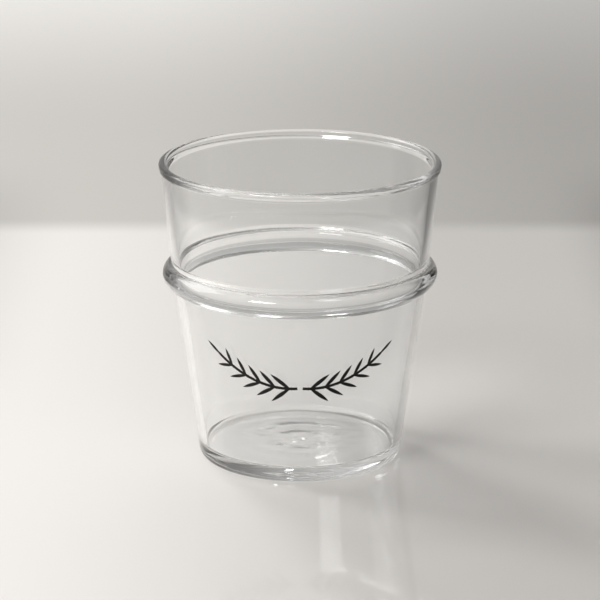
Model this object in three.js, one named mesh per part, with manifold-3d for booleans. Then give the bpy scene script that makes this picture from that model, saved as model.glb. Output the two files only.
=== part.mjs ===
// A stackable drinking glass: a tapered cup, a round ring that seats on the lip of the glass below,
// a wider collar above the ring, a rounded lip, and a pair of leaf sprigs printed in black enamel.
// Millimetres, +Z up. The glass stands on z = 0 and its axis is the Z axis; the print faces -Y.
import * as THREE from "three";
import { mergeVertices } from "three/addons/utils/BufferGeometryUtils.js";
import { TessellateModifier } from "three/addons/modifiers/TessellateModifier.js";
import Module from "manifold-3d";

// Heights
const HEIGHT = 94.8;
const BASE_THICKNESS = 4.3;
const HEEL_HEIGHT = 3.1;
const RING_SEAT_Z = 55.2;
const RING_HEIGHT = 7.0;

// Outer radii. The collar, the ring and the top of the cup step in from the lip, so that the cup of
// one glass goes into the collar of another and its ring comes to rest on the lip.
const HEEL_RADIUS = 32.25;
const LIP_RADIUS = 44.0;
const LIP_STAND_OUT = 0.85;
const COLLAR_FLARE = 2.8;
const COLLAR_STEP = 0.8;
const COLLAR_TOP_RADIUS = LIP_RADIUS - LIP_STAND_OUT;
const COLLAR_FOOT_RADIUS = COLLAR_TOP_RADIUS - COLLAR_FLARE;
const CUP_TOP_RADIUS = COLLAR_FOOT_RADIUS - COLLAR_STEP;

// Sections
const WALL = 2.4;
const FLOOR_CORNER = 1.4;
const HEEL_ROUND = 1.6;
const FOOT_WIDTH = 1.8;
const FOOT_RECESS = 0.3;
const RECESS_SLOPE = 20.0;
const RING_STAND_OUT = 3.1;
const RING_SWELL_IN = 1.5;
const RING_SWELL_RISE = 1.7;
const SHOULDER = 0.6;
const SHOULDER_HEIGHT = 2.2;
const LIP_HEIGHT = 3.4;
const LIP_BAND = 2.45;
const LIP_CROWN = 1.1;
const LIP_BEVEL = 0.6;
const LIP_CORNER = 0.35;
const LIP_PEAK_SHARE = 0.58;
const LIP_UNDERCUT = -80;

// Printed sprigs, drawn flat and wrapped round the cup
const PRINT_DROP = 18.7;
const PRINT_GAP = 0.08;
const ENAMEL_THICKNESS = 0.2;
const SPRIG_START = 0.8;
const SPRIG_REACH = 26.5;
const SPRIG_RISE = 9.0;
const SPRIG_SAG = 5.5;
const STEM_WIDTH = 0.9;
const LEAF_PAIRS = 5;
const FIRST_LEAF = 0.1;
const LAST_LEAF = 0.82;
const LEAF_LENGTH = 7.6;
const LEAF_WIDTH = 2.6;
const LEAF_LAP = 1.0;
const LEAF_SPREAD = THREE.MathUtils.degToRad(38);
const TIP_LEAF_SHARE = 0.7;

// Fineness of the facets
const TURN_STEPS = 72;
const ROUND_STEPS = 6;
const CURVE_STEPS = 16;
const LEAF_STEPS = 6;
const WRAP_EDGE = 2.4;
const WRAP_PASSES = 6;
const MERGE_WITHIN = 1e-4;

// Seams between the parts of the glass
const baseSeamZ = BASE_THICKNESS + FLOOR_CORNER;
const ringTopZ = RING_SEAT_Z + RING_HEIGHT;
const lipSeamZ = HEIGHT - LIP_HEIGHT;
const printZ = RING_SEAT_Z - PRINT_DROP;

const glass = new THREE.MeshStandardMaterial({
  color: 0xdde6e6,
  roughness: 0.03,
  metalness: 0,
  transparent: true,
  opacity: 0.4,
});
const enamel = new THREE.MeshStandardMaterial({
  color: 0x15140f,
  roughness: 0.45,
  metalness: 0,
});

const tumbler = new THREE.Group();
tumbler.name = "stackable_glass";

function addPart(name, geometry, material) {
  const mesh = new THREE.Mesh(geometry, material);
  mesh.name = name;
  tumbler.add(mesh);
}

function mix(z, lowZ, lowValue, highZ, highValue) {
  return lowValue + ((highValue - lowValue) * (z - lowZ)) / (highZ - lowZ);
}

// The outside of the wall without the ring: three cones that meet at the seams.
function outerRadius(z) {
  if (z <= RING_SEAT_Z)
    return mix(z, HEEL_HEIGHT, HEEL_RADIUS, RING_SEAT_Z, CUP_TOP_RADIUS);
  if (z <= ringTopZ)
    return mix(z, RING_SEAT_Z, CUP_TOP_RADIUS, ringTopZ, COLLAR_FOOT_RADIUS);
  return mix(z, ringTopZ, COLLAR_FOOT_RADIUS, lipSeamZ, COLLAR_TOP_RADIUS);
}

function innerRadius(z) {
  return outerRadius(z) - WALL;
}

function outerPoint(z) {
  return new THREE.Vector2(outerRadius(z), z);
}

function innerPoint(z) {
  return new THREE.Vector2(innerRadius(z), z);
}

// Points of an ellipse arc in the (radius, height) plane, angles in degrees from straight out.
function arcPoints(centreR, centreZ, radiusR, radiusZ, startAngle, endAngle) {
  const arc = new THREE.EllipseCurve(
    centreR,
    centreZ,
    radiusR,
    radiusZ,
    THREE.MathUtils.degToRad(startAngle),
    THREE.MathUtils.degToRad(endAngle),
    endAngle < startAngle,
  );
  return arc.getPoints(ROUND_STEPS);
}

// A profile of (radius, height) points turned about the Z axis.
function turned(profile) {
  return new THREE.LatheGeometry(profile, TURN_STEPS).rotateX(Math.PI / 2);
}

// A ring-shaped part, whose profile ends where it starts.
function turnedRing(profile) {
  return turned([...profile, profile[0]]);
}

// The base: a recessed underside, a flat foot, a rounded heel and a filleted floor.
function baseDisc() {
  const footRadius = HEEL_RADIUS - HEEL_ROUND;
  const recessRadius = footRadius - FOOT_WIDTH;
  const cornerRadius = innerRadius(baseSeamZ) - FLOOR_CORNER;
  return turned([
    new THREE.Vector2(0, FOOT_RECESS),
    new THREE.Vector2(recessRadius - RECESS_SLOPE, FOOT_RECESS),
    new THREE.Vector2(recessRadius, 0),
    ...arcPoints(footRadius, HEEL_HEIGHT, HEEL_ROUND, HEEL_HEIGHT, -90, 0),
    outerPoint(baseSeamZ),
    ...arcPoints(cornerRadius, baseSeamZ, FLOOR_CORNER, FLOOR_CORNER, 0, -90),
    new THREE.Vector2(0, BASE_THICKNESS),
  ]);
}

// A straight tapered wall between two seams.
function taperedWall(lowZ, highZ) {
  return turnedRing([
    outerPoint(lowZ),
    outerPoint(highZ),
    innerPoint(highZ),
    innerPoint(lowZ),
  ]);
}

// The inside of the wall between two heights, moved off its line by a soft slope that ends on it.
function easedInside(fromZ, toZ, offset) {
  const points = [];
  for (let step = 0; step <= ROUND_STEPS; step++) {
    const share = step / ROUND_STEPS;
    const point = innerPoint(THREE.MathUtils.lerp(fromZ, toZ, share));
    point.x += (offset * (1 + Math.cos(Math.PI * share))) / 2;
    points.push(point);
  }
  return points;
}

// The collar: a tapered wall whose foot thickens inside to a soft shoulder over the ring.
function upperCollar() {
  const shoulder = easedInside(ringTopZ, ringTopZ + SHOULDER_HEIGHT, -SHOULDER);
  return turnedRing([
    outerPoint(ringTopZ),
    outerPoint(lipSeamZ),
    innerPoint(lipSeamZ),
    ...shoulder.reverse(),
  ]);
}

// One side of the ring from lowZ to its top: half an ellipse off the wall or, at its top, off a shoulder.
function swollenSide(wallPoint, lowZ, swell, shoulder) {
  const half = (ringTopZ - lowZ) / 2;
  const steps = 2 * ROUND_STEPS;
  const side = [wallPoint(lowZ)];
  for (let step = 1; step < steps; step++) {
    const angle = (Math.PI * step) / steps;
    const point = wallPoint(lowZ + half - half * Math.cos(angle));
    const start = 2 * step > steps ? shoulder : 0;
    point.x += THREE.MathUtils.lerp(start, swell, Math.sin(angle));
    side.push(point);
  }
  const top = wallPoint(ringTopZ);
  top.x += shoulder;
  side.push(top);
  return side;
}

// The ring: the wall gathered into a round bead, which swells outwards and, less and higher, inwards.
function stackingRing() {
  const outside = swollenSide(outerPoint, RING_SEAT_Z, RING_STAND_OUT, 0);
  const insideSeatZ = RING_SEAT_Z + RING_SWELL_RISE;
  const inside = swollenSide(innerPoint, insideSeatZ, -RING_SWELL_IN, -SHOULDER);
  return turnedRing([...outside, ...inside.reverse(), innerPoint(RING_SEAT_Z)]);
}

// The lip: a band that stands out from the collar, with a round crown and a bevel inside.
function lipBead() {
  const crownZ = HEIGHT - LIP_CROWN;
  const bandZ = HEIGHT - LIP_BAND;
  const width = LIP_RADIUS - innerRadius(crownZ) - LIP_BEVEL;
  const outward = LIP_PEAK_SHARE * width;
  const peakR = LIP_RADIUS - outward;
  const cornerR = LIP_RADIUS - outerRadius(crownZ) + outerRadius(bandZ) - LIP_CORNER;
  const cornerZ = bandZ + LIP_CORNER;
  return turnedRing([
    outerPoint(lipSeamZ),
    outerPoint(bandZ),
    ...arcPoints(cornerR, cornerZ, LIP_CORNER, LIP_CORNER, LIP_UNDERCUT, 0),
    ...arcPoints(peakR, crownZ, outward, LIP_CROWN, 0, 90),
    ...arcPoints(peakR, crownZ, width - outward, LIP_CROWN, 90, 180).slice(1),
    ...easedInside(crownZ, lipSeamZ, LIP_BEVEL).slice(1),
  ]);
}

const wasm = await Module();
wasm.setup();

function solidOf(geometry) {
  const bare = geometry.index ? geometry.toNonIndexed() : geometry.clone();
  bare.deleteAttribute("normal");
  bare.deleteAttribute("uv");
  const merged = mergeVertices(bare, MERGE_WITHIN);
  return new wasm.Manifold(
    new wasm.Mesh({
      numProp: 3,
      vertProperties: merged.attributes.position.array,
      triVerts: new Uint32Array(merged.index.array),
    }),
  );
}

function geometryOf(solid) {
  const { vertProperties, triVerts } = solid.getMesh();
  const geometry = new THREE.BufferGeometry();
  geometry.setAttribute("position", new THREE.BufferAttribute(vertProperties, 3));
  geometry.setIndex(new THREE.BufferAttribute(triVerts, 1));
  return geometry;
}

// A flat outline given the thickness of the enamel.
function enamelSheet(shape) {
  return new THREE.ExtrudeGeometry(shape, {
    depth: ENAMEL_THICKNESS,
    bevelEnabled: false,
    curveSegments: LEAF_STEPS,
  });
}

// A ribbon of even width along a curve.
function stemSheet(curve) {
  const left = [];
  const right = [];
  for (let step = 0; step <= CURVE_STEPS; step++) {
    const at = curve.getPoint(step / CURVE_STEPS);
    const along = curve.getTangent(step / CURVE_STEPS);
    const aside = new THREE.Vector2(-along.y, along.x).multiplyScalar(STEM_WIDTH / 2);
    left.push(at.clone().add(aside));
    right.push(at.clone().sub(aside));
  }
  return enamelSheet(new THREE.Shape([...left, ...right.reverse()]));
}

// A pointed leaf that grows from a point of the stem, with its foot lapped onto the stem.
function leafSheet(foot, angle, share) {
  const length = LEAF_LENGTH * share;
  const width = LEAF_WIDTH * share;
  const leaf = new THREE.Shape();
  leaf.moveTo(-LEAF_LAP, 0);
  leaf.quadraticCurveTo(length / 2, width, length, 0);
  leaf.quadraticCurveTo(length / 2, -width, -LEAF_LAP, 0);
  return enamelSheet(leaf).rotateZ(angle).translate(foot.x, foot.y, 0);
}

// One sprig, flat: a drooping stem with leaf pairs that grow smaller towards the tip, and a last leaf.
function flatSprig(side) {
  const start = new THREE.Vector2(side * SPRIG_START, -SPRIG_RISE / 2);
  const end = new THREE.Vector2(side * SPRIG_REACH, SPRIG_RISE / 2);
  const bend = new THREE.Vector2((side * SPRIG_REACH) / 2, -SPRIG_SAG);
  const curve = new THREE.QuadraticBezierCurve(start, bend, end);
  let sprig = solidOf(stemSheet(curve));
  const addLeaf = (t, turn, share) => {
    const along = curve.getTangent(t);
    const angle = Math.atan2(along.y, along.x) + turn;
    sprig = sprig.add(solidOf(leafSheet(curve.getPoint(t), angle, share)));
  };
  for (let pair = 0; pair < LEAF_PAIRS; pair++) {
    const t = THREE.MathUtils.lerp(FIRST_LEAF, LAST_LEAF, pair / (LEAF_PAIRS - 1));
    const share = THREE.MathUtils.lerp(1, TIP_LEAF_SHARE, t);
    addLeaf(t, LEAF_SPREAD, share);
    addLeaf(t, -LEAF_SPREAD, share);
  }
  addLeaf(1, 0, TIP_LEAF_SHARE);
  return geometryOf(sprig);
}

// Wraps a flat sheet round the cup: x runs along the wall, y up it and z out of it.
function wrapped(flat) {
  const fine = new TessellateModifier(WRAP_EDGE, WRAP_PASSES).modify(flat.toNonIndexed());
  const points = fine.attributes.position;
  const printRadius = outerRadius(printZ);
  for (let i = 0; i < points.count; i++) {
    const turn = points.getX(i) / printRadius;
    const z = printZ + points.getY(i);
    const radius = outerRadius(z) + PRINT_GAP + points.getZ(i);
    points.setXYZ(i, radius * Math.sin(turn), -radius * Math.cos(turn), z);
  }
  return mergeVertices(fine, MERGE_WITHIN);
}

addPart("base_disc", baseDisc(), glass);
addPart("lower_wall", taperedWall(baseSeamZ, RING_SEAT_Z), glass);
addPart("stacking_ring", stackingRing(), glass);
addPart("upper_collar", upperCollar(), glass);
addPart("lip_bead", lipBead(), glass);
addPart("printed_sprig_left", wrapped(flatSprig(-1)), enamel);
addPart("printed_sprig_right", wrapped(flatSprig(1)), enamel);

export default tumbler;
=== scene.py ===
"""Dresses a stackable drinking glass: the clear vessel, the leaf sprigs printed on it and a pale stage.

Everything is in metres, +Z up. The glass stands on z = 0, its axis is the Z axis and its print faces -Y.
"""
import math

import bpy
from bpy.props import FloatProperty, FloatVectorProperty, IntProperty, PointerProperty
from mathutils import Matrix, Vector


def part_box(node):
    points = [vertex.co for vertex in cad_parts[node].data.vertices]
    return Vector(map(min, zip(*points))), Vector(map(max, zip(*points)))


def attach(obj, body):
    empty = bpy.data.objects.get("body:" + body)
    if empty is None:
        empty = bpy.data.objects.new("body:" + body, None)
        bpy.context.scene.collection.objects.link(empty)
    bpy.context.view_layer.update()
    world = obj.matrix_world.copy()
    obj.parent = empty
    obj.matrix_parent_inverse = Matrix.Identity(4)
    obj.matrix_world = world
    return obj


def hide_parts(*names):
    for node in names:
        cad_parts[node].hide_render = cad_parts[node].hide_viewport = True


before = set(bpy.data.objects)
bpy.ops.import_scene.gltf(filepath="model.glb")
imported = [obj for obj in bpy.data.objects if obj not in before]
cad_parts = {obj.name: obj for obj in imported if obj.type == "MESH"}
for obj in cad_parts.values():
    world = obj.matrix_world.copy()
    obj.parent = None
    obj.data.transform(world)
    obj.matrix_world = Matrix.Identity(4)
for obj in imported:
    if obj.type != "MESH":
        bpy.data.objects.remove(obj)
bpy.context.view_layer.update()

bl_info = {
    "name": "Stackable drinking glass",
    "version": (1, 0, 0),
    "blender": (4, 5, 0),
    "location": "3D View > Sidebar > Glass",
    "description": "Builds a clear stackable tumbler with a printed leaf sprig, and a stage to show it on",
    "category": "Add Mesh",
}

MM = 0.001
GLASS_NODES = ("base_disc", "lower_wall", "stacking_ring", "upper_collar", "lip_bead")

# Points along a printed leaf and along a stem.
LEAF_STEPS = 14
STEM_STEPS = 30

# Points closer than these gaps are merged. Edges of the enamel sharper than the angle stay sharp.
VESSEL_MERGE = 0.002 * MM
SPRIG_MERGE = 0.001 * MM
SHARP_ANGLE = math.radians(40)

# Where unevenness fades: below the lip's top, across the ring's ends, and outwards on the floor.
LIP_FADE = (4 * MM, 12 * MM)
RING_FADE = (-1 * MM, 2 * MM)
SWIRL_CORE = 3 * MM
FLOOR_BAND = (0.5, 1.5)

# Smears and specks that both finishes share.
SMEAR_EDGE = (0.45, 0.75)
SMEAR_DETAIL = 3.0
SPECK_DETAIL = 2.0

# Clear glass. A shadow ray keeps a share of its light, which depends on the height and on the slant.
GLASS_SMEAR_SCALE = 60.0
GLASS_SPECK_SCALE = 420.0
GLASS_ROUGHNESS = (0.0, 0.025)
GLASS_BUMP = 0.004
GLASS_BUMP_DEPTH = 0.05 * MM
GLASS_IOR = 1.47
GLASS_DENSITY = 2.0
SLANT_BLEND = 0.3
PASSED_HEIGHTS = (35 * MM, 65 * MM)
PASSED_SHARES = (0.98, 0.74)
GRAZED_HEIGHTS = (4 * MM, 9 * MM)
GRAZED_SHARES = (0.9, 0.15)

# Black enamel.
ENAMEL_SMEAR_SCALE = 350.0
ENAMEL_SPECK_SCALE = 4000.0
ENAMEL_ROUGHNESS = (0.38, 0.5)
ENAMEL_SPECULAR = 0.25
ENAMEL_BUMP = 0.25
ENAMEL_BUMP_DEPTH = 0.02 * MM

# Table: the stretch of X over which its painted light falls to painted shade, near and far back, and those
# of the painted shade at its sides.
TABLE_SIDE = 12.0
TABLE_ROUGHNESS = 0.06
TABLE_SPECULAR = 0.25
NEAR_LIGHT_FALLOFF = (-0.10, 0.07)
FAR_LIGHT_FALLOFF = (-0.10, 0.14)
LEFT_SIDE_SHADE = (-0.20, -0.09)
RIGHT_SIDE_SHADE = (0.10, 0.17)

# The stretches of Y over which the painted shade at the sides starts and ends.
SIDE_SHADE_START = (0.03, 0.10)
SIDE_SHADE_END = (0.26, 0.40)

# The two lights behind at the left: each one's azimuth in degrees and its share of the power.
KEY_LIGHTS = ((-118, 0.45), (-150, 0.55))
KEY_PLACE = (33, 2.8, (0.6, 0.4))

# The windows: azimuth and rise in degrees, distance and sides in metres.
WINDOW_LEFT = (-36, 40, 1.4, (0.5, 0.25))
WIDE_WINDOW = (-115, 38, 1.2, (0.8, 0.6))
WINDOW_BEHIND = (175.3, 30, 1.2, (0.06, 0.1))

# Surroundings, by direction: from left to right, from front to back and from low to high.
ROOM_COLOUR = (1.0, 0.985, 0.965, 1.0)
ROOM_ACROSS = (-0.4, 0.95)
ROOM_BEHIND = (-0.2, 0.75)
ROOM_LIFT = (0.1, 0.6)

SENSOR_WIDTH = 36.0
LIGHT_BOUNCES = 32

# The highest corner of each formed part: x is its outer radius and z the height of its upper seam.
BASE_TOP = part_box("base_disc")[1]
CUP_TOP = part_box("lower_wall")[1]
RING_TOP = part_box("stacking_ring")[1]
COLLAR_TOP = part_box("upper_collar")[1]
LIP_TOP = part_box("lip_bead")[1]


def length(name, description, millimetres):
    """A length that a user can change, given in millimetres."""
    return FloatProperty(
        name=name,
        description=description,
        default=millimetres * MM,
        min=0.0,
        precision=5,
        unit="LENGTH",
    )


def colour(name, description, value):
    """A colour that a user can change."""
    return FloatVectorProperty(
        name=name,
        description=description,
        default=value,
        size=4,
        min=0.0,
        max=1.0,
        subtype="COLOR",
    )


def level(name, description, value, highest=10.0):
    """A plain number that a user can change."""
    return FloatProperty(name=name, description=description, default=value, min=0.0, max=highest)


class VesselSizes(bpy.types.PropertyGroup):
    """Sizes of the clear vessel. Its seams and outer radii come from the frame."""

    wall: length("Wall", "Thickness of the tapered walls", 2.4)
    foot_width: length("Foot width", "Width of the flat ring that the glass stands on", 1.8)
    recess_depth: length("Recess depth", "How far the underside is dished", 0.3)
    recess_slope: length("Recess slope", "Width of the slope from the foot up into the dish", 20.0)
    heel_round: length("Heel round", "How far the heel draws in to the foot", 1.6)
    heel_height: length("Heel height", "Height at which the heel meets the straight wall", 3.1)
    floor_thickness: length("Floor", "Thickness of the floor over the foot", 4.3)
    floor_corner: length("Floor corner", "Radius between the floor and the wall inside", 1.4)
    collar_step: length("Collar step", "How much wider the collar starts than the cup ends", 0.8)
    ring_swell_in: length("Ring swell", "How far the ring swells into the glass", 1.5)
    ring_swell_rise: length("Ring swell rise", "Height of the inner swell's foot over the ring's", 1.7)
    ring_root: length("Ring root", "Radius of the crease where the ring leaves the wall", 0.15)
    ring_groove: length("Ring groove", "Height of the fine tool lines round the ring", 0.02)
    shoulder: length("Shoulder", "How far the wall thickens inside, just over the ring", 0.6)
    shoulder_height: length("Shoulder height", "Height over which it thickens", 2.2)
    lip_height: length("Lip height", "Height of the lip with the bevel inside it", 3.4)
    lip_band: length("Lip band", "Height of the band that stands out from the collar", 2.45)
    lip_crown: length("Lip crown", "Height of the lip's rounded top", 1.1)
    lip_bevel: length("Lip bevel", "How far the bevel widens the mouth inside the lip", 0.6)
    lip_corner: length("Lip corner", "Radius of the corner under the lip", 0.35)
    lip_peak: level("Lip peak", "Where the lip is highest, as a share of its width from outside", 0.58, 1.0)
    ripple_height: length("Ripple height", "Height of the ripples that pressing leaves on the floor", 0.11)
    ripple_spacing: length("Ripple spacing", "Distance from one ripple to the next", 8.0)
    ripple_reach: length("Ripple reach", "Radius inside which the floor ripples", 26.0)
    nub_height: length("Nub height", "Height of the cut-off nub in the middle of the floor", 0.15)
    nub_radius: length("Nub radius", "Radius of the cut-off nub", 2.2)
    waviness: length("Waviness", "How uneven the inner walls are", 0.05)
    wave_size: length("Wave size", "Distance over which the walls are uneven", 16.0)
    ring_waviness: length("Ring waviness", "How uneven the hand-formed ring is", 0.05)
    ring_wave_size: length("Ring wave size", "Distance over which the ring is uneven", 7.0)
    swirl: length("Swirl", "How uneven the middle of the floor is", 0.22)
    swirl_size: length("Swirl size", "Distance over which the floor is uneven", 4.5)
    turn_steps: IntProperty(name="Turn steps", description="Facets round the glass", default=256, min=32)


class SprigSizes(bpy.types.PropertyGroup):
    """Sizes of one printed sprig, drawn flat before it is wrapped round the cup."""

    drop: length("Drop", "Height of the ring's seat over the middle of the print", 18.7)
    gap: length("Gap", "Gap between the enamel and the glass", 0.01)
    thickness: length("Thickness", "Thickness of the enamel", 0.06)
    start: length("Start", "Distance of the stem's foot from the middle", 0.8)
    reach: length("Reach", "Distance of the stem's tip from the middle, along the wall", 26.5)
    rise: length("Rise", "Height of the stem's tip over its foot", 9.0)
    sag: length("Sag", "How far the stem's bend hangs below the middle", 5.5)
    stem_width: length("Stem width", "Width of the stem", 0.9)
    leaf_length: length("Leaf length", "Length of the largest leaf", 7.6)
    leaf_width: length("Leaf width", "Width of the largest leaf", 2.6)
    leaf_lap: length("Leaf lap", "How far a leaf's foot laps onto the stem", 1.0)
    leaf_spread: FloatProperty(
        name="Leaf spread",
        description="Angle between a leaf and the stem",
        default=math.radians(38),
        subtype="ANGLE",
    )
    leaf_pairs: IntProperty(name="Leaf pairs", description="Pairs of leaves on a stem", default=5, min=2)
    first_leaf: level("First leaf", "Where the first pair grows, as a share of the stem", 0.1, 1.0)
    last_leaf: level("Last leaf", "Where the last pair grows, as a share of the stem", 0.82, 1.0)
    tip_share: level("Tip share", "Size of the leaf at the tip, as a share of the largest", 0.7, 1.0)


class GlassFinish(bpy.types.PropertyGroup):
    """Colours of the glass and of the enamel."""

    glass_tint: colour("Glass tint", "Colour of light that has passed a surface", (0.99, 0.995, 0.995, 1.0))
    depth_tint: colour("Depth tint", "Colour that thick glass tends to", (0.50, 0.53, 0.54, 1.0))
    enamel: colour("Enamel", "Colour of the printed enamel", (0.004, 0.004, 0.0035, 1.0))
    enamel_thin: colour("Thin enamel", "Colour where the enamel is thinner", (0.010, 0.009, 0.008, 1.0))


class StageLook(bpy.types.PropertyGroup):
    """The table, the light and the camera."""

    table: colour("Table", "Colour of the table", (0.76, 0.735, 0.705, 1.0))
    backdrop: colour("Backdrop", "Colour of the floor further back", (0.52, 0.502, 0.475, 1.0))
    backdrop_start: length("Backdrop start", "Distance behind the glass where the colour turns", 262.0)
    backdrop_blend: length("Backdrop blend", "Width of that turn", 26.0)
    # Painted light and shade: the floor is painted lighter at the left and darker towards the right, in
    # place of the lamps' falloff.
    painted_light_left: level("Left tone", "Brightness of the floor left of the glass", 1.08)
    painted_shade_right: level("Right tone", "Brightness of the floor at the right", 0.74)
    # Painted shade: the floor behind the glass is painted darker at both sides.
    painted_side_shade_left: level("Left edge", "Brightness of the floor behind, further left", 0.42)
    painted_side_shade_right: level("Right edge", "Brightness of the floor behind, further right", 0.36)
    # Painted light: the floor far behind is painted paler where the lamps' light falls off.
    far: colour("Far floor", "Colour of the floor far behind the glass", (0.95, 0.93, 0.9, 1.0))
    far_start: length("Far start", "Distance behind the glass where that colour starts", 450.0)
    far_blend: length("Far blend", "Width of that turn", 600.0)
    world_left: level("World left", "Brightness of the surroundings at the left", 0.6)
    world_right: level("World right", "Brightness of the surroundings at the right", 0.0)
    world_back: level("World back", "Share of that brightness low behind the glass", 0.8)
    key_power: level("Key power", "Power of the lights behind at the left, in watts", 49.0, 200.0)
    window_power: level("Window power", "Power of the window at the front left, in watts", 6.5, 100.0)
    wide_power: level("Wide power", "Power of the wide window at the left, in watts", 4.5, 100.0)
    back_power: level("Back power", "Power of the small window behind the glass, in watts", 0.14, 100.0)
    camera_distance: length("Camera distance", "Distance of the camera from the aim", 900.0)
    camera_aim: length("Camera aim", "Height of the point that the camera looks at", 49.45)
    camera_rise: FloatProperty(
        name="Camera rise",
        description="Angle at which the camera looks down",
        default=math.radians(16.41),
        subtype="ANGLE",
    )
    focal_length: FloatProperty(
        name="Focal length", description="Focal length, in millimetres", default=171.54, min=1.0
    )


def mix(at, low, low_value, high, high_value):
    """The value on a straight line through two known ones."""
    return low_value + (high_value - low_value) * (at - low) / (high - low)


def arc(centre, radii, start, end, steps):
    """Points of an ellipse arc in the (radius, height) plane, angles in degrees from straight out."""
    points = []
    for step in range(steps + 1):
        angle = math.radians(mix(step, 0, start, steps, end))
        points.append((centre[0] + radii[0] * math.cos(angle), centre[1] + radii[1] * math.sin(angle)))
    return points


class VesselSection:
    """The half section of the vessel, as (radius, height) points."""

    WALL_STEP = 3.0 * MM
    JOINT_GAPS = (0.12 * MM, 0.5 * MM, 1.4 * MM)
    RING_POINTS = 40
    SLOPE_POINTS = 12
    LIP_POINTS = 12
    HEEL_POINTS = 12
    CORNER_POINTS = 12
    DISH_POINTS = 6
    LIP_UNDERCUT = -80
    FLOOR_STEP = 0.4 * MM
    ROOT_SHARE = 0.15
    RING_LINES = 5

    def __init__(self, size):
        self.size = size
        self.collar_foot = CUP_TOP.x + size.collar_step
        self.heel_radius = mix(size.heel_height, BASE_TOP.z, BASE_TOP.x, CUP_TOP.z, CUP_TOP.x)

    def outer(self, z):
        """Radius of the outside without the ring: three cones that meet at the seams."""
        if z <= CUP_TOP.z:
            return mix(z, self.size.heel_height, self.heel_radius, CUP_TOP.z, CUP_TOP.x)
        if z <= RING_TOP.z:
            return mix(z, CUP_TOP.z, CUP_TOP.x, RING_TOP.z, self.collar_foot)
        return mix(z, RING_TOP.z, self.collar_foot, COLLAR_TOP.z, COLLAR_TOP.x)

    def inner(self, z):
        return self.outer(z) - self.size.wall

    def wall(self, radius_at, low, high):
        """A straight wall from low to high, with points close to its joints so that they stay crisp."""
        heights = [low + gap for gap in self.JOINT_GAPS]
        steps = int((high - low) / self.WALL_STEP)
        span = (low + 2 * self.JOINT_GAPS[-1], high - 2 * self.JOINT_GAPS[-1])
        heights += [mix(step, 0, span[0], steps, span[1]) for step in range(steps + 1)]
        heights += [high - gap for gap in reversed(self.JOINT_GAPS)]
        return [(radius_at(z), z) for z in heights]

    def swollen(self, radius_at, low, high, swell, shoulder=0.0):
        """One side of the ring: half an ellipse off the line of the wall or, at its top, off a shoulder."""
        root = self.size.ring_root
        low -= root
        high += root
        points = []
        for step in range(self.RING_POINTS + 1):
            share = -math.cos(math.pi * step / self.RING_POINTS)
            z = mix(share, -1, low, 1, high)
            ellipse = math.sqrt(max(0.0, 1 - share * share))
            soft = math.cos(math.pi * share / 2) ** 2
            line = self.size.ring_groove * soft * math.sin(math.pi * self.RING_LINES * share)
            bulge = mix(self.ROOT_SHARE, 0, ellipse, 1, soft)
            start = shoulder if share > 0 else 0.0
            points.append((radius_at(z) + mix(bulge, 0, start, 1, swell) + line, z))
        return points

    def eased_inside(self, start, end, offset):
        """The inside of the wall between two heights, off its line by a soft slope that ends on it."""
        points = []
        for step in range(self.SLOPE_POINTS + 1):
            share = step / self.SLOPE_POINTS
            z = mix(share, 0, start, 1, end)
            points.append((self.inner(z) + offset * (1 + math.cos(math.pi * share)) / 2, z))
        return points

    def stretch(self, start, end):
        """Two points just inside the ends of a straight stretch, which keep its shading flat."""
        first, last = Vector(start), Vector(end)
        inset = (last - first).normalized() * self.JOINT_GAPS[0]
        return [tuple(first + inset), tuple(last - inset)]

    def underside(self):
        """From the axis out over the dish to the flat foot."""
        size = self.size
        foot = self.heel_radius - size.heel_round
        dish = foot - size.foot_width
        points = [(0.0, size.recess_depth)]
        for step in range(1, self.DISH_POINTS):
            points.append(((dish - size.recess_slope) * step / self.DISH_POINTS, size.recess_depth))
        for step in range(self.SLOPE_POINTS + 1):
            share = step / self.SLOPE_POINTS
            fall = (1 + math.cos(math.pi * share)) / 2
            points.append((dish - size.recess_slope * (1 - share), size.recess_depth * fall))
        points += [(foot - size.foot_width / 2, 0.0), (foot - self.JOINT_GAPS[0], 0.0)]
        return points

    def heel(self):
        size = self.size
        centre = (self.heel_radius - size.heel_round, size.heel_height)
        return arc(centre, (size.heel_round, size.heel_height), -90, 0, self.HEEL_POINTS)

    def lip(self):
        """The lip, from the step under it up its face, over the crown and down the bevel inside it."""
        size = self.size
        corner = size.lip_corner
        foot = LIP_TOP.z - size.lip_band
        crown = LIP_TOP.z - size.lip_crown
        face = LIP_TOP.x - self.outer(crown) + self.outer(foot)
        centre = (face - corner, foot + corner)
        step = arc(centre, (corner, corner), self.LIP_UNDERCUT, 0, self.LIP_POINTS)
        width = LIP_TOP.x - self.inner(crown) - size.lip_bevel
        outward = width * size.lip_peak
        peak = (LIP_TOP.x - outward, crown)
        outside = arc(peak, (outward, size.lip_crown), 0, 90, self.LIP_POINTS)
        inside = arc(peak, (width - outward, size.lip_crown), 90, 180, self.LIP_POINTS)
        bevel = self.eased_inside(crown, LIP_TOP.z - size.lip_height, size.lip_bevel)
        return step + self.stretch(step[-1], outside[0]) + outside + inside[1:] + bevel[1:]

    def floor(self):
        """From the inner wall round the corner and over the ripples to the nub on the axis."""
        size = self.size
        top = size.floor_thickness + size.floor_corner
        centre = (self.inner(top) - size.floor_corner, top)
        radii = (size.floor_corner, size.floor_corner)
        points = arc(centre, radii, 0, -90, self.CORNER_POINTS)
        steps = int(centre[0] / self.FLOOR_STEP)
        for step in range(1, steps + 1):
            radius = mix(step, 0, centre[0], steps, 0.0)
            points.append((radius, size.floor_thickness + self.ripple(radius)))
        return points

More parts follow.
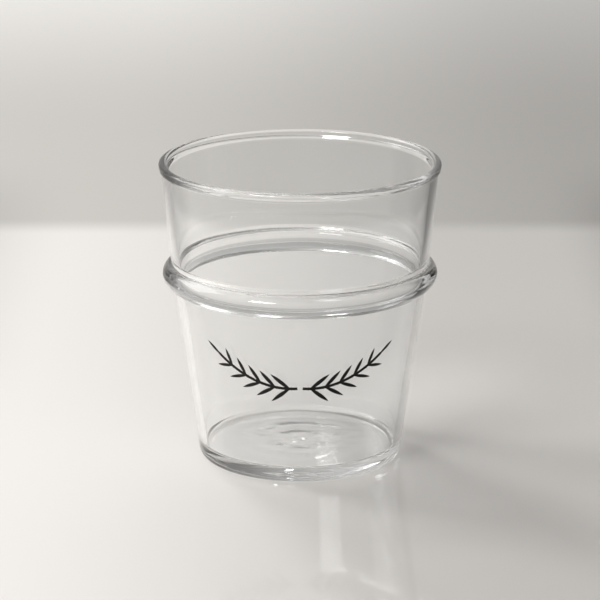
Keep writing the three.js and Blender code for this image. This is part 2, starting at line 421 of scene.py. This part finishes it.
    def ripple(self, radius):
        """Height of the floor's ripples and nub at a distance from the axis."""
        size = self.size
        fade = max(0.0, 1 - (radius / size.ripple_reach) ** 2) ** 2
        wave = math.cos(2 * math.pi * radius / size.ripple_spacing)
        nub = math.exp(-((radius / size.nub_radius) ** 4))
        return size.ripple_height * fade * wave * (1 - nub) + size.nub_height * nub

    def points(self):
        """The whole outline, from the axis under the base to the axis on the floor."""
        size = self.size
        root = size.ring_root
        seat, top = CUP_TOP.z, RING_TOP.z
        inner_seat = seat + size.ring_swell_rise
        floor_top = size.floor_thickness + size.floor_corner
        outline = self.underside() + self.heel()
        outline += self.wall(self.outer, size.heel_height, seat - root)
        outline += self.swollen(self.outer, seat, top, RING_TOP.x - (CUP_TOP.x + self.collar_foot) / 2)
        outline += self.wall(self.outer, top + root, LIP_TOP.z - size.lip_band)
        outline += self.lip()
        outline += reversed(self.wall(self.inner, top + size.shoulder_height, LIP_TOP.z - size.lip_height))
        shoulder = self.eased_inside(top + root, top + size.shoulder_height, -size.shoulder)
        outline += reversed(shoulder[1:])
        outline += reversed(self.swollen(self.inner, inner_seat, top, -size.ring_swell_in, -size.shoulder))
        outline += reversed(self.wall(self.inner, floor_top, inner_seat - root))
        return outline + self.floor()


def deselect_all():
    bpy.ops.object.select_all(action="DESELECT")


def start_at_point(name, place):
    """A new mesh with one selected vertex at a place, left in edit mode."""
    deselect_all()
    bpy.ops.mesh.primitive_plane_add(size=MM)
    piece = bpy.context.object
    piece.name = name
    piece.data.name = name
    bpy.ops.object.mode_set(mode="EDIT")
    bpy.ops.mesh.select_all(action="SELECT")
    bpy.ops.mesh.merge(type="CENTER")
    bpy.ops.transform.translate(value=place)
    return piece


def extrude_along(places):
    """Extrudes the selected vertex from place to place."""
    for here, there in zip(places, places[1:]):
        step = Vector(there) - Vector(here)
        bpy.ops.mesh.extrude_vertices_move(TRANSFORM_OT_translate={"value": step})


def turn_outline(name, outline, steps):
    """Turns an outline that starts and ends on the axis into a closed body."""
    places = [(radius, 0.0, z) for radius, z in outline]
    piece = start_at_point(name, places[0])
    extrude_along(places)
    bpy.ops.mesh.select_all(action="SELECT")
    bpy.ops.mesh.spin(steps=steps, angle=2 * math.pi, center=(0, 0, 0), axis=(0, 0, 1))
    bpy.ops.mesh.select_all(action="SELECT")
    bpy.ops.mesh.remove_doubles(threshold=VESSEL_MERGE)
    bpy.ops.mesh.normals_make_consistent(inside=False)
    bpy.ops.object.mode_set(mode="OBJECT")
    bpy.ops.object.shade_smooth()
    return piece


def weigh(piece, name, weight_at):
    """A vertex group whose weights come from each vertex's place."""
    group = piece.vertex_groups.new(name=name)
    for vertex in piece.data.vertices:
        weight = weight_at(vertex.co)
        if weight > 0:
            group.add([vertex.index], weight, "REPLACE")


def make_uneven(piece, name, height, size, weight_at):
    """Moves a surface in and out by soft clouds, where its weights allow."""
    weigh(piece, name, weight_at)
    clouds = bpy.data.textures.new(name, "CLOUDS")
    clouds.noise_scale = size
    clouds.noise_depth = 1
    uneven = piece.modifiers.new(name, "DISPLACE")
    uneven.texture = clouds
    uneven.texture_coords = "LOCAL"
    uneven.vertex_group = name
    uneven.strength = height
    uneven.mid_level = 0.5
    bpy.context.view_layer.objects.active = piece
    bpy.ops.object.modifier_apply(modifier=uneven.name)


def smooth_step(value, low, high):
    share = min(1.0, max(0.0, (value - low) / (high - low)))
    return share * share * (3 - 2 * share)


def place_node(tree, kind, inputs, **settings):
    """A node with its settings, whose inputs are values or other nodes' outputs."""
    node = tree.nodes.new(kind)
    for name, value in settings.items():
        setattr(node, name, value)
    for name, value in inputs.items():
        if isinstance(value, bpy.types.NodeSocket):
            tree.links.new(value, node.inputs[name])
        else:
            node.inputs[name].default_value = value
    return node


def ramp(tree, value, low, high, at_low, at_high):
    """A value that turns smoothly from one number to another."""
    inputs = {
        "Value": value,
        "From Min": low,
        "From Max": high,
        "To Min": at_low,
        "To Max": at_high,
    }
    node = place_node(tree, "ShaderNodeMapRange", inputs, interpolation_type="SMOOTHSTEP")
    return node.outputs["Result"]


def times(tree, first, second):
    return place_node(tree, "ShaderNodeMath", {0: first, 1: second}, operation="MULTIPLY").outputs[0]


def blend_colours(tree, factor, first, second):
    inputs = {"Factor": factor, "A": first, "B": second}
    return place_node(tree, "ShaderNodeMix", inputs, data_type="RGBA").outputs["Result"]


def new_material(name):
    """A new node material with its tree, its Principled shader and its output."""
    material = bpy.data.materials.new(name)
    material.use_nodes = True
    tree = material.node_tree
    return material, tree, tree.nodes["Principled BSDF"], tree.nodes["Material Output"]


def handled_surface_group():
    """Shared effect: a soft mask of smears, and a height of fine specks."""
    group = bpy.data.node_groups.get("Handled surface")
    if group:
        return group
    group = bpy.data.node_groups.new("Handled surface", "ShaderNodeTree")
    for name in ("Smear Scale", "Speck Scale"):
        group.interface.new_socket(name, in_out="INPUT", socket_type="NodeSocketFloat")
    for name in ("Smear", "Height"):
        group.interface.new_socket(name, in_out="OUTPUT", socket_type="NodeSocketFloat")
    inputs = group.nodes.new("NodeGroupInput")
    outputs = group.nodes.new("NodeGroupOutput")
    place = group.nodes.new("ShaderNodeTexCoord").outputs["Object"]
    smear_inputs = {"Vector": place, "Scale": inputs.outputs["Smear Scale"], "Detail": SMEAR_DETAIL}
    smear = place_node(group, "ShaderNodeTexNoise", smear_inputs).outputs["Fac"]
    speck_inputs = {"Vector": place, "Scale": inputs.outputs["Speck Scale"], "Detail": SPECK_DETAIL}
    speck = place_node(group, "ShaderNodeTexNoise", speck_inputs).outputs["Fac"]
    group.links.new(ramp(group, smear, *SMEAR_EDGE, 0.0, 1.0), outputs.inputs["Smear"])
    group.links.new(speck, outputs.inputs["Height"])
    return group


def handled_surface(tree, smear_scale, speck_scale):
    node = tree.nodes.new("ShaderNodeGroup")
    node.node_tree = handled_surface_group()
    node.inputs["Smear Scale"].default_value = smear_scale
    node.inputs["Speck Scale"].default_value = speck_scale
    return node


def add_bump(tree, shader, height, strength, depth):
    """Lets a height bend a shader's normal."""
    bump = place_node(tree, "ShaderNodeBump", {"Height": height, "Strength": strength, "Distance": depth})
    tree.links.new(bump.outputs["Normal"], shader.inputs["Normal"])


def clear_glass(finish):
    """Fire-polished borosilicate glass, with faint smears and a grey-blue depth."""
    material, tree, shader, output = new_material("clear glass")
    surface = handled_surface(tree, GLASS_SMEAR_SCALE, GLASS_SPECK_SCALE)
    shader.inputs["Base Color"].default_value = finish.glass_tint
    shader.inputs["IOR"].default_value = GLASS_IOR
    shader.inputs["Transmission Weight"].default_value = 1.0
    roughness = ramp(tree, surface.outputs["Smear"], 0.0, 1.0, *GLASS_ROUGHNESS)
    tree.links.new(roughness, shader.inputs["Roughness"])
    add_bump(tree, shader, surface.outputs["Height"], GLASS_BUMP, GLASS_BUMP_DEPTH)
    coordinates = tree.nodes.new("ShaderNodeTexCoord")
    facing = place_node(tree, "ShaderNodeLayerWeight", {"Blend": SLANT_BLEND}).outputs["Facing"]
    place = place_node(tree, "ShaderNodeSeparateXYZ", {"Vector": coordinates.outputs["Object"]})
    passed = ramp(tree, place.outputs["Z"], *PASSED_HEIGHTS, *PASSED_SHARES)
    grazed = ramp(tree, place.outputs["Z"], *GRAZED_HEIGHTS, *GRAZED_SHARES)
    shade = ramp(tree, facing, 0.0, 1.0, passed, grazed)
    shadow = place_node(tree, "ShaderNodeBsdfTransparent", {"Color": shade}).outputs["BSDF"]
    is_shadow = tree.nodes.new("ShaderNodeLightPath").outputs["Is Shadow Ray"]
    surface_inputs = {0: is_shadow, 1: shader.outputs["BSDF"], 2: shadow}
    both = place_node(tree, "ShaderNodeMixShader", surface_inputs)
    tree.links.new(both.outputs["Shader"], output.inputs["Surface"])
    depth_inputs = {"Color": finish.depth_tint, "Density": GLASS_DENSITY}
    depth = place_node(tree, "ShaderNodeVolumeAbsorption", depth_inputs)
    tree.links.new(depth.outputs["Volume"], output.inputs["Volume"])
    return material


def black_enamel(finish):
    """Fired ceramic enamel: near black, satin, a little thinner in places."""
    material, tree, shader, _ = new_material("black enamel")
    surface = handled_surface(tree, ENAMEL_SMEAR_SCALE, ENAMEL_SPECK_SCALE)
    smear = surface.outputs["Smear"]
    tone = blend_colours(tree, smear, finish.enamel, finish.enamel_thin)
    tree.links.new(tone, shader.inputs["Base Color"])
    tree.links.new(ramp(tree, smear, 0.0, 1.0, *ENAMEL_ROUGHNESS), shader.inputs["Roughness"])
    shader.inputs["Specular IOR Level"].default_value = ENAMEL_SPECULAR
    add_bump(tree, shader, surface.outputs["Height"], ENAMEL_BUMP, ENAMEL_BUMP_DEPTH)
    return material


def pale_table(look):
    """A pale satin table, grey further back, with painted light and shade: lighter at the left, darker to
    the right, painted shade at both sides behind the glass and paler far behind.
    """
    material, tree, shader, _ = new_material("pale table")
    coordinates = tree.nodes.new("ShaderNodeTexCoord")
    place = place_node(tree, "ShaderNodeSeparateXYZ", {"Vector": coordinates.outputs["Object"]})
    start = look.backdrop_start
    on_backdrop = ramp(tree, place.outputs["Y"], start, start + look.backdrop_blend, 0.0, 1.0)
    ground = blend_colours(tree, on_backdrop, look.table, look.backdrop)
    # Painted light: the floor far behind turns paler where the lamps' light falls off.
    start = look.far_start
    on_far = ramp(tree, place.outputs["Y"], start, start + look.far_blend, 0.0, 1.0)
    ground = blend_colours(tree, on_far, ground, look.far)
    # Painted light and shade: lighter at the left, falling to darker at the right, near and far back.
    across = place.outputs["X"]
    near_painted_light = ramp(tree, across, *NEAR_LIGHT_FALLOFF, look.painted_light_left, look.painted_shade_right)
    far_painted_light = ramp(tree, across, *FAR_LIGHT_FALLOFF, look.painted_light_left, look.painted_shade_right)
    tone_inputs = {"Factor": on_backdrop, "A": near_painted_light, "B": far_painted_light}
    tone = place_node(tree, "ShaderNodeMix", tone_inputs).outputs["Result"]
    # Painted shade at both sides of the floor behind the glass.
    painted_side_shade_left = ramp(tree, across, *LEFT_SIDE_SHADE, look.painted_side_shade_left, 1.0)
    painted_side_shade_right = ramp(tree, across, *RIGHT_SIDE_SHADE, 1.0, look.painted_side_shade_right)
    started = ramp(tree, place.outputs["Y"], *SIDE_SHADE_START, 0.0, 1.0)
    unended = ramp(tree, place.outputs["Y"], *SIDE_SHADE_END, 1.0, 0.0)
    both_side_shades = times(tree, painted_side_shade_left, painted_side_shade_right)
    side_shade_inputs = {"Factor": times(tree, started, unended), "A": 1.0, "B": both_side_shades}
    edge = place_node(tree, "ShaderNodeMix", side_shade_inputs).outputs["Result"]
    scale_inputs = {0: ground, "Scale": times(tree, tone, edge)}
    toned = place_node(tree, "ShaderNodeVectorMath", scale_inputs, operation="SCALE")
    tree.links.new(toned.outputs["Vector"], shader.inputs["Base Color"])
    shader.inputs["Roughness"].default_value = TABLE_ROUGHNESS
    shader.inputs["Specular IOR Level"].default_value = TABLE_SPECULAR
    return material


def build_vessel(size, finish):
    """The clear vessel: one body of fused glass in place of the five formed parts."""
    section = VesselSection(size)
    vessel = turn_outline("glass_vessel", section.points(), size.turn_steps)

    def inside(place):
        """Full weight on the inner walls and none at the lip, the outside and the floor."""
        radius = math.hypot(place.x, place.y)
        middle = section.outer(place.z) - size.wall / 2
        if radius > middle or place.z < size.floor_thickness + size.floor_corner:
            return 0.0
        return smooth_step(LIP_TOP.z - place.z, *LIP_FADE)

    def on_ring(place):
        """Full weight over the ring's height, inside and outside, fading just past it."""
        middle = (CUP_TOP.z + RING_TOP.z) / 2
        half = (RING_TOP.z - CUP_TOP.z) / 2
        return 1 - smooth_step(abs(place.z - middle), half + RING_FADE[0], half + RING_FADE[1])

    def mid_floor(place):
        """Full weight in the middle of the floor's upper side, fading outwards."""
        if not FLOOR_BAND[0] < place.z / size.floor_thickness < FLOOR_BAND[1]:
            return 0.0
        return 1 - smooth_step(math.hypot(place.x, place.y), SWIRL_CORE, size.ripple_reach)

    make_uneven(vessel, "uneven walls", size.waviness, size.wave_size, inside)
    make_uneven(vessel, "uneven ring", size.ring_waviness, size.ring_wave_size, on_ring)
    make_uneven(vessel, "floor swirl", size.swirl, size.swirl_size, mid_floor)
    vessel.vertex_groups.clear()
    vessel.data.materials.append(clear_glass(finish))
    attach(vessel, "root")
    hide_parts(*GLASS_NODES)
    return vessel


def stem_at(size, side, share):
    """Place and direction at a share of the stem, a curve with one bend."""
    start = Vector((side * size.start, -size.rise / 2))
    bend = Vector((side * size.reach / 2, -size.sag))
    end = Vector((side * size.reach, size.rise / 2))
    place = (1 - share) ** 2 * start + 2 * share * (1 - share) * bend + share**2 * end
    along = (1 - share) * (bend - start) + share * (end - bend)
    return place, math.atan2(along.y, along.x)


def add_ribbon(name, steps):
    """A flat strip one unit long and wide, in the plane of X and Y."""
    deselect_all()
    bpy.ops.mesh.primitive_grid_add(x_subdivisions=steps, y_subdivisions=2, size=1.0)
    piece = bpy.context.object
    piece.name = name
    piece.data.name = name
    return piece


def shape_columns(piece, place_at):
    """Moves each point of a strip to where its share along the strip and its side send it."""
    for vertex in piece.data.vertices:
        share = vertex.co.x + 0.5
        side = 2 * vertex.co.y
        x, y = place_at(share, side)
        vertex.co = (x, y, 0.0)


def add_leaf(size, foot, angle, share):
    """A pointed leaf that grows from a point of the stem."""
    long = size.leaf_length * share
    wide = size.leaf_width * share
    leaf = add_ribbon("leaf", LEAF_STEPS)

    def place_at(t, side):
        along = -((1 - t) ** 2) * size.leaf_lap + t * (1 - t) * long + t * t * long
        return along, side * t * (1 - t) * wide

    shape_columns(leaf, place_at)
    leaf.rotation_euler = (0, 0, angle)
    leaf.location = (foot.x, foot.y, 0)
    return leaf


def add_stem(size, side):
    """A ribbon of even width along the stem's curve."""
    stem = add_ribbon("stem", STEM_STEPS)

    def place_at(t, edge):
        place, angle = stem_at(size, side, t)
        aside = Vector((-math.sin(angle), math.cos(angle))) * edge * size.stem_width / 2
        return place + aside

    shape_columns(stem, place_at)
    return stem


def flat_sprig(name, size, side):
    """A drooping stem with leaf pairs that grow smaller towards the tip, and a last leaf, as one sheet."""
    sheets = [add_stem(size, side)]
    for pair in range(size.leaf_pairs):
        share = mix(pair, 0, size.first_leaf, size.leaf_pairs - 1, size.last_leaf)
        foot, along = stem_at(size, side, share)
        grown = mix(share, 0, 1, 1, size.tip_share)
        sheets.append(add_leaf(size, foot, along + size.leaf_spread, grown))
        sheets.append(add_leaf(size, foot, along - size.leaf_spread, grown))
    tip, along = stem_at(size, side, 1)
    sheets.append(add_leaf(size, tip, along, size.tip_share))
    deselect_all()
    for sheet in sheets:
        sheet.select_set(True)
    sprig = sheets[0]
    bpy.context.view_layer.objects.active = sprig
    bpy.ops.object.transform_apply(location=True, rotation=True, scale=True)
    bpy.ops.object.join()
    sprig.name = name
    sprig.data.name = name
    return sprig


def wrap_round_cup(sprig, size, section):
    """Wraps a flat sheet round the cup: x runs along the wall and y up it."""
    middle = CUP_TOP.z - size.drop
    print_radius = section.outer(middle)
    for vertex in sprig.data.vertices:
        turn = vertex.co.x / print_radius
        z = middle + vertex.co.y
        radius = section.outer(z) + size.gap + vertex.co.z
        vertex.co = (radius * math.sin(turn), -radius * math.cos(turn), z)


def build_sprig(name, node, side, size, section, material):
    """One printed sprig: drawn flat, given the thickness of the enamel and wrapped round the cup."""
    sprig = flat_sprig(name, size, side)
    solid = sprig.modifiers.new("enamel", "SOLIDIFY")
    solid.thickness = size.thickness
    solid.offset = 1.0
    bpy.ops.object.modifier_apply(modifier=solid.name)
    wrap_round_cup(sprig, size, section)
    bpy.ops.object.mode_set(mode="EDIT")
    bpy.ops.mesh.select_all(action="SELECT")
    bpy.ops.mesh.remove_doubles(threshold=SPRIG_MERGE)
    bpy.ops.mesh.normals_make_consistent(inside=False)
    bpy.ops.object.mode_set(mode="OBJECT")
    bpy.ops.object.shade_smooth_by_angle(angle=SHARP_ANGLE)
    sprig.data.materials.append(material)
    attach(sprig, "root")
    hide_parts(node)
    return sprig


def direction(azimuth, rise):
    """A direction from the glass: azimuth 0 is towards the front and 90 to the right, in degrees."""
    turn = math.radians(azimuth)
    lift = math.radians(rise)
    return Vector((math.sin(turn) * math.cos(lift), -math.cos(turn) * math.cos(lift), math.sin(lift)))


def soft_light(name, azimuth, rise, distance, sides, power, aim):
    """A rectangular soft light that looks at the middle of the glass."""
    light = bpy.data.lights.new(name, "AREA")
    light.shape = "RECTANGLE"
    light.size, light.size_y = sides
    light.energy = power
    lamp = bpy.data.objects.new(name, light)
    bpy.context.scene.collection.objects.link(lamp)
    away = direction(azimuth, rise)
    lamp.location = aim + away * distance
    lamp.rotation_euler = (-away).to_track_quat("-Z", "Y").to_euler()
    return lamp


def room_light(look):
    """Surroundings that are bright at the left, dark at the right and dimmer low behind the glass."""
    world = bpy.data.worlds.new("room light")
    bpy.context.scene.world = world
    world.use_nodes = True
    tree = world.node_tree
    coordinates = tree.nodes.new("ShaderNodeTexCoord")
    toward = place_node(tree, "ShaderNodeSeparateXYZ", {"Vector": coordinates.outputs["Generated"]})
    side = ramp(tree, toward.outputs["X"], *ROOM_ACROSS, look.world_left, look.world_right)
    behind = ramp(tree, toward.outputs["Y"], *ROOM_BEHIND, 0.0, 1.0)
    lift = ramp(tree, toward.outputs["Z"], *ROOM_LIFT, look.world_back, 1.0)
    depth = place_node(tree, "ShaderNodeMix", {"Factor": behind, "A": 1.0, "B": lift}).outputs["Result"]
    background = tree.nodes["Background"]
    background.inputs["Color"].default_value = ROOM_COLOUR
    tree.links.new(times(tree, side, depth), background.inputs["Strength"])


def build_stage(look):
    """A pale table, soft light from the left and the camera."""
    deselect_all()
    bpy.ops.mesh.primitive_plane_add(size=TABLE_SIDE)
    table = bpy.context.object
    table.name = "table"
    table.data.materials.append(pale_table(look))
    aim = Vector((0, 0, look.camera_aim))
    for azimuth, share in KEY_LIGHTS:
        key = soft_light("key", azimuth, *KEY_PLACE, share * look.key_power, aim)
        key.visible_transmission = False
        key.visible_glossy = False
    soft_light("window left", *WINDOW_LEFT, look.window_power, aim)
    soft_light("wide window", *WIDE_WINDOW, look.wide_power, aim)
    soft_light("window behind", *WINDOW_BEHIND, look.back_power, aim)
    room_light(look)
    scene = bpy.context.scene
    lens = bpy.data.cameras.new("camera")
    lens.lens = look.focal_length
    lens.sensor_width = SENSOR_WIDTH
    camera = bpy.data.objects.new("camera", lens)
    scene.collection.objects.link(camera)
    camera.location = aim + direction(0, math.degrees(look.camera_rise)) * look.camera_distance
    camera.rotation_euler = (math.pi / 2 - look.camera_rise, 0, 0)
    scene.camera = camera
    scene.view_settings.view_transform = "Standard"
    cycles = scene.cycles
    cycles.max_bounces = LIGHT_BOUNCES
    cycles.glossy_bounces = LIGHT_BOUNCES
    cycles.transmission_bounces = LIGHT_BOUNCES
    cycles.transparent_max_bounces = LIGHT_BOUNCES


class GLASS_OT_vessel(bpy.types.Operator):
    """Builds the clear vessel in place of the formed parts of the glass"""

    bl_idname = "glass.vessel"
    bl_label = "Clear vessel"

    def execute(self, context):
        build_vessel(context.scene.vessel_sizes, context.scene.glass_finish)
        return {"FINISHED"}


class GLASS_OT_sprigs(bpy.types.Operator):
    """Builds the pair of leaf sprigs printed on the front of the cup"""

    bl_idname = "glass.sprigs"
    bl_label = "Printed sprigs"

    def execute(self, context):
        scene = context.scene
        section = VesselSection(scene.vessel_sizes)
        enamel = black_enamel(scene.glass_finish)
        for name, node, side in (
            ("leaf_sprig_left", "printed_sprig_left", -1),
            ("leaf_sprig_right", "printed_sprig_right", 1),
        ):
            build_sprig(name, node, side, scene.sprig_sizes, section, enamel)
        return {"FINISHED"}


class GLASS_OT_stage(bpy.types.Operator):
    """Builds the table, the light and the camera"""

    bl_idname = "glass.stage"
    bl_label = "Stage"

    def execute(self, context):
        build_stage(context.scene.stage_look)
        return {"FINISHED"}


class GLASS_PT_panel(bpy.types.Panel):
    """Sizes, colours and steps of the glass"""

    bl_idname = "GLASS_PT_panel"
    bl_label = "Drinking glass"
    bl_space_type = "VIEW_3D"
    bl_region_type = "UI"
    bl_category = "Glass"

    def draw(self, context):
        layout = self.layout
        for group_name, operator in STEPS:
            group = getattr(context.scene, group_name)
            box = layout.box()
            for name in group.__annotations__:
                box.prop(group, name)
            if operator:
                box.operator(operator.bl_idname)


GROUPS = {
    "vessel_sizes": VesselSizes,
    "sprig_sizes": SprigSizes,
    "glass_finish": GlassFinish,
    "stage_look": StageLook,
}
STEPS = (
    ("glass_finish", None),
    ("vessel_sizes", GLASS_OT_vessel),
    ("sprig_sizes", GLASS_OT_sprigs),
    ("stage_look", GLASS_OT_stage),
)
CLASSES = (*GROUPS.values(), GLASS_OT_vessel, GLASS_OT_sprigs, GLASS_OT_stage, GLASS_PT_panel)


def register():
    for item in CLASSES:
        bpy.utils.register_class(item)
    for name, group in GROUPS.items():
        setattr(bpy.types.Scene, name, PointerProperty(type=group))


def unregister():
    for name in GROUPS:
        delattr(bpy.types.Scene, name)
    for item in reversed(CLASSES):
        bpy.utils.unregister_class(item)


def main():
    register()
    bpy.ops.glass.vessel()
    bpy.ops.glass.sprigs()
    bpy.ops.glass.stage()


if __name__ == "__main__":
    main()
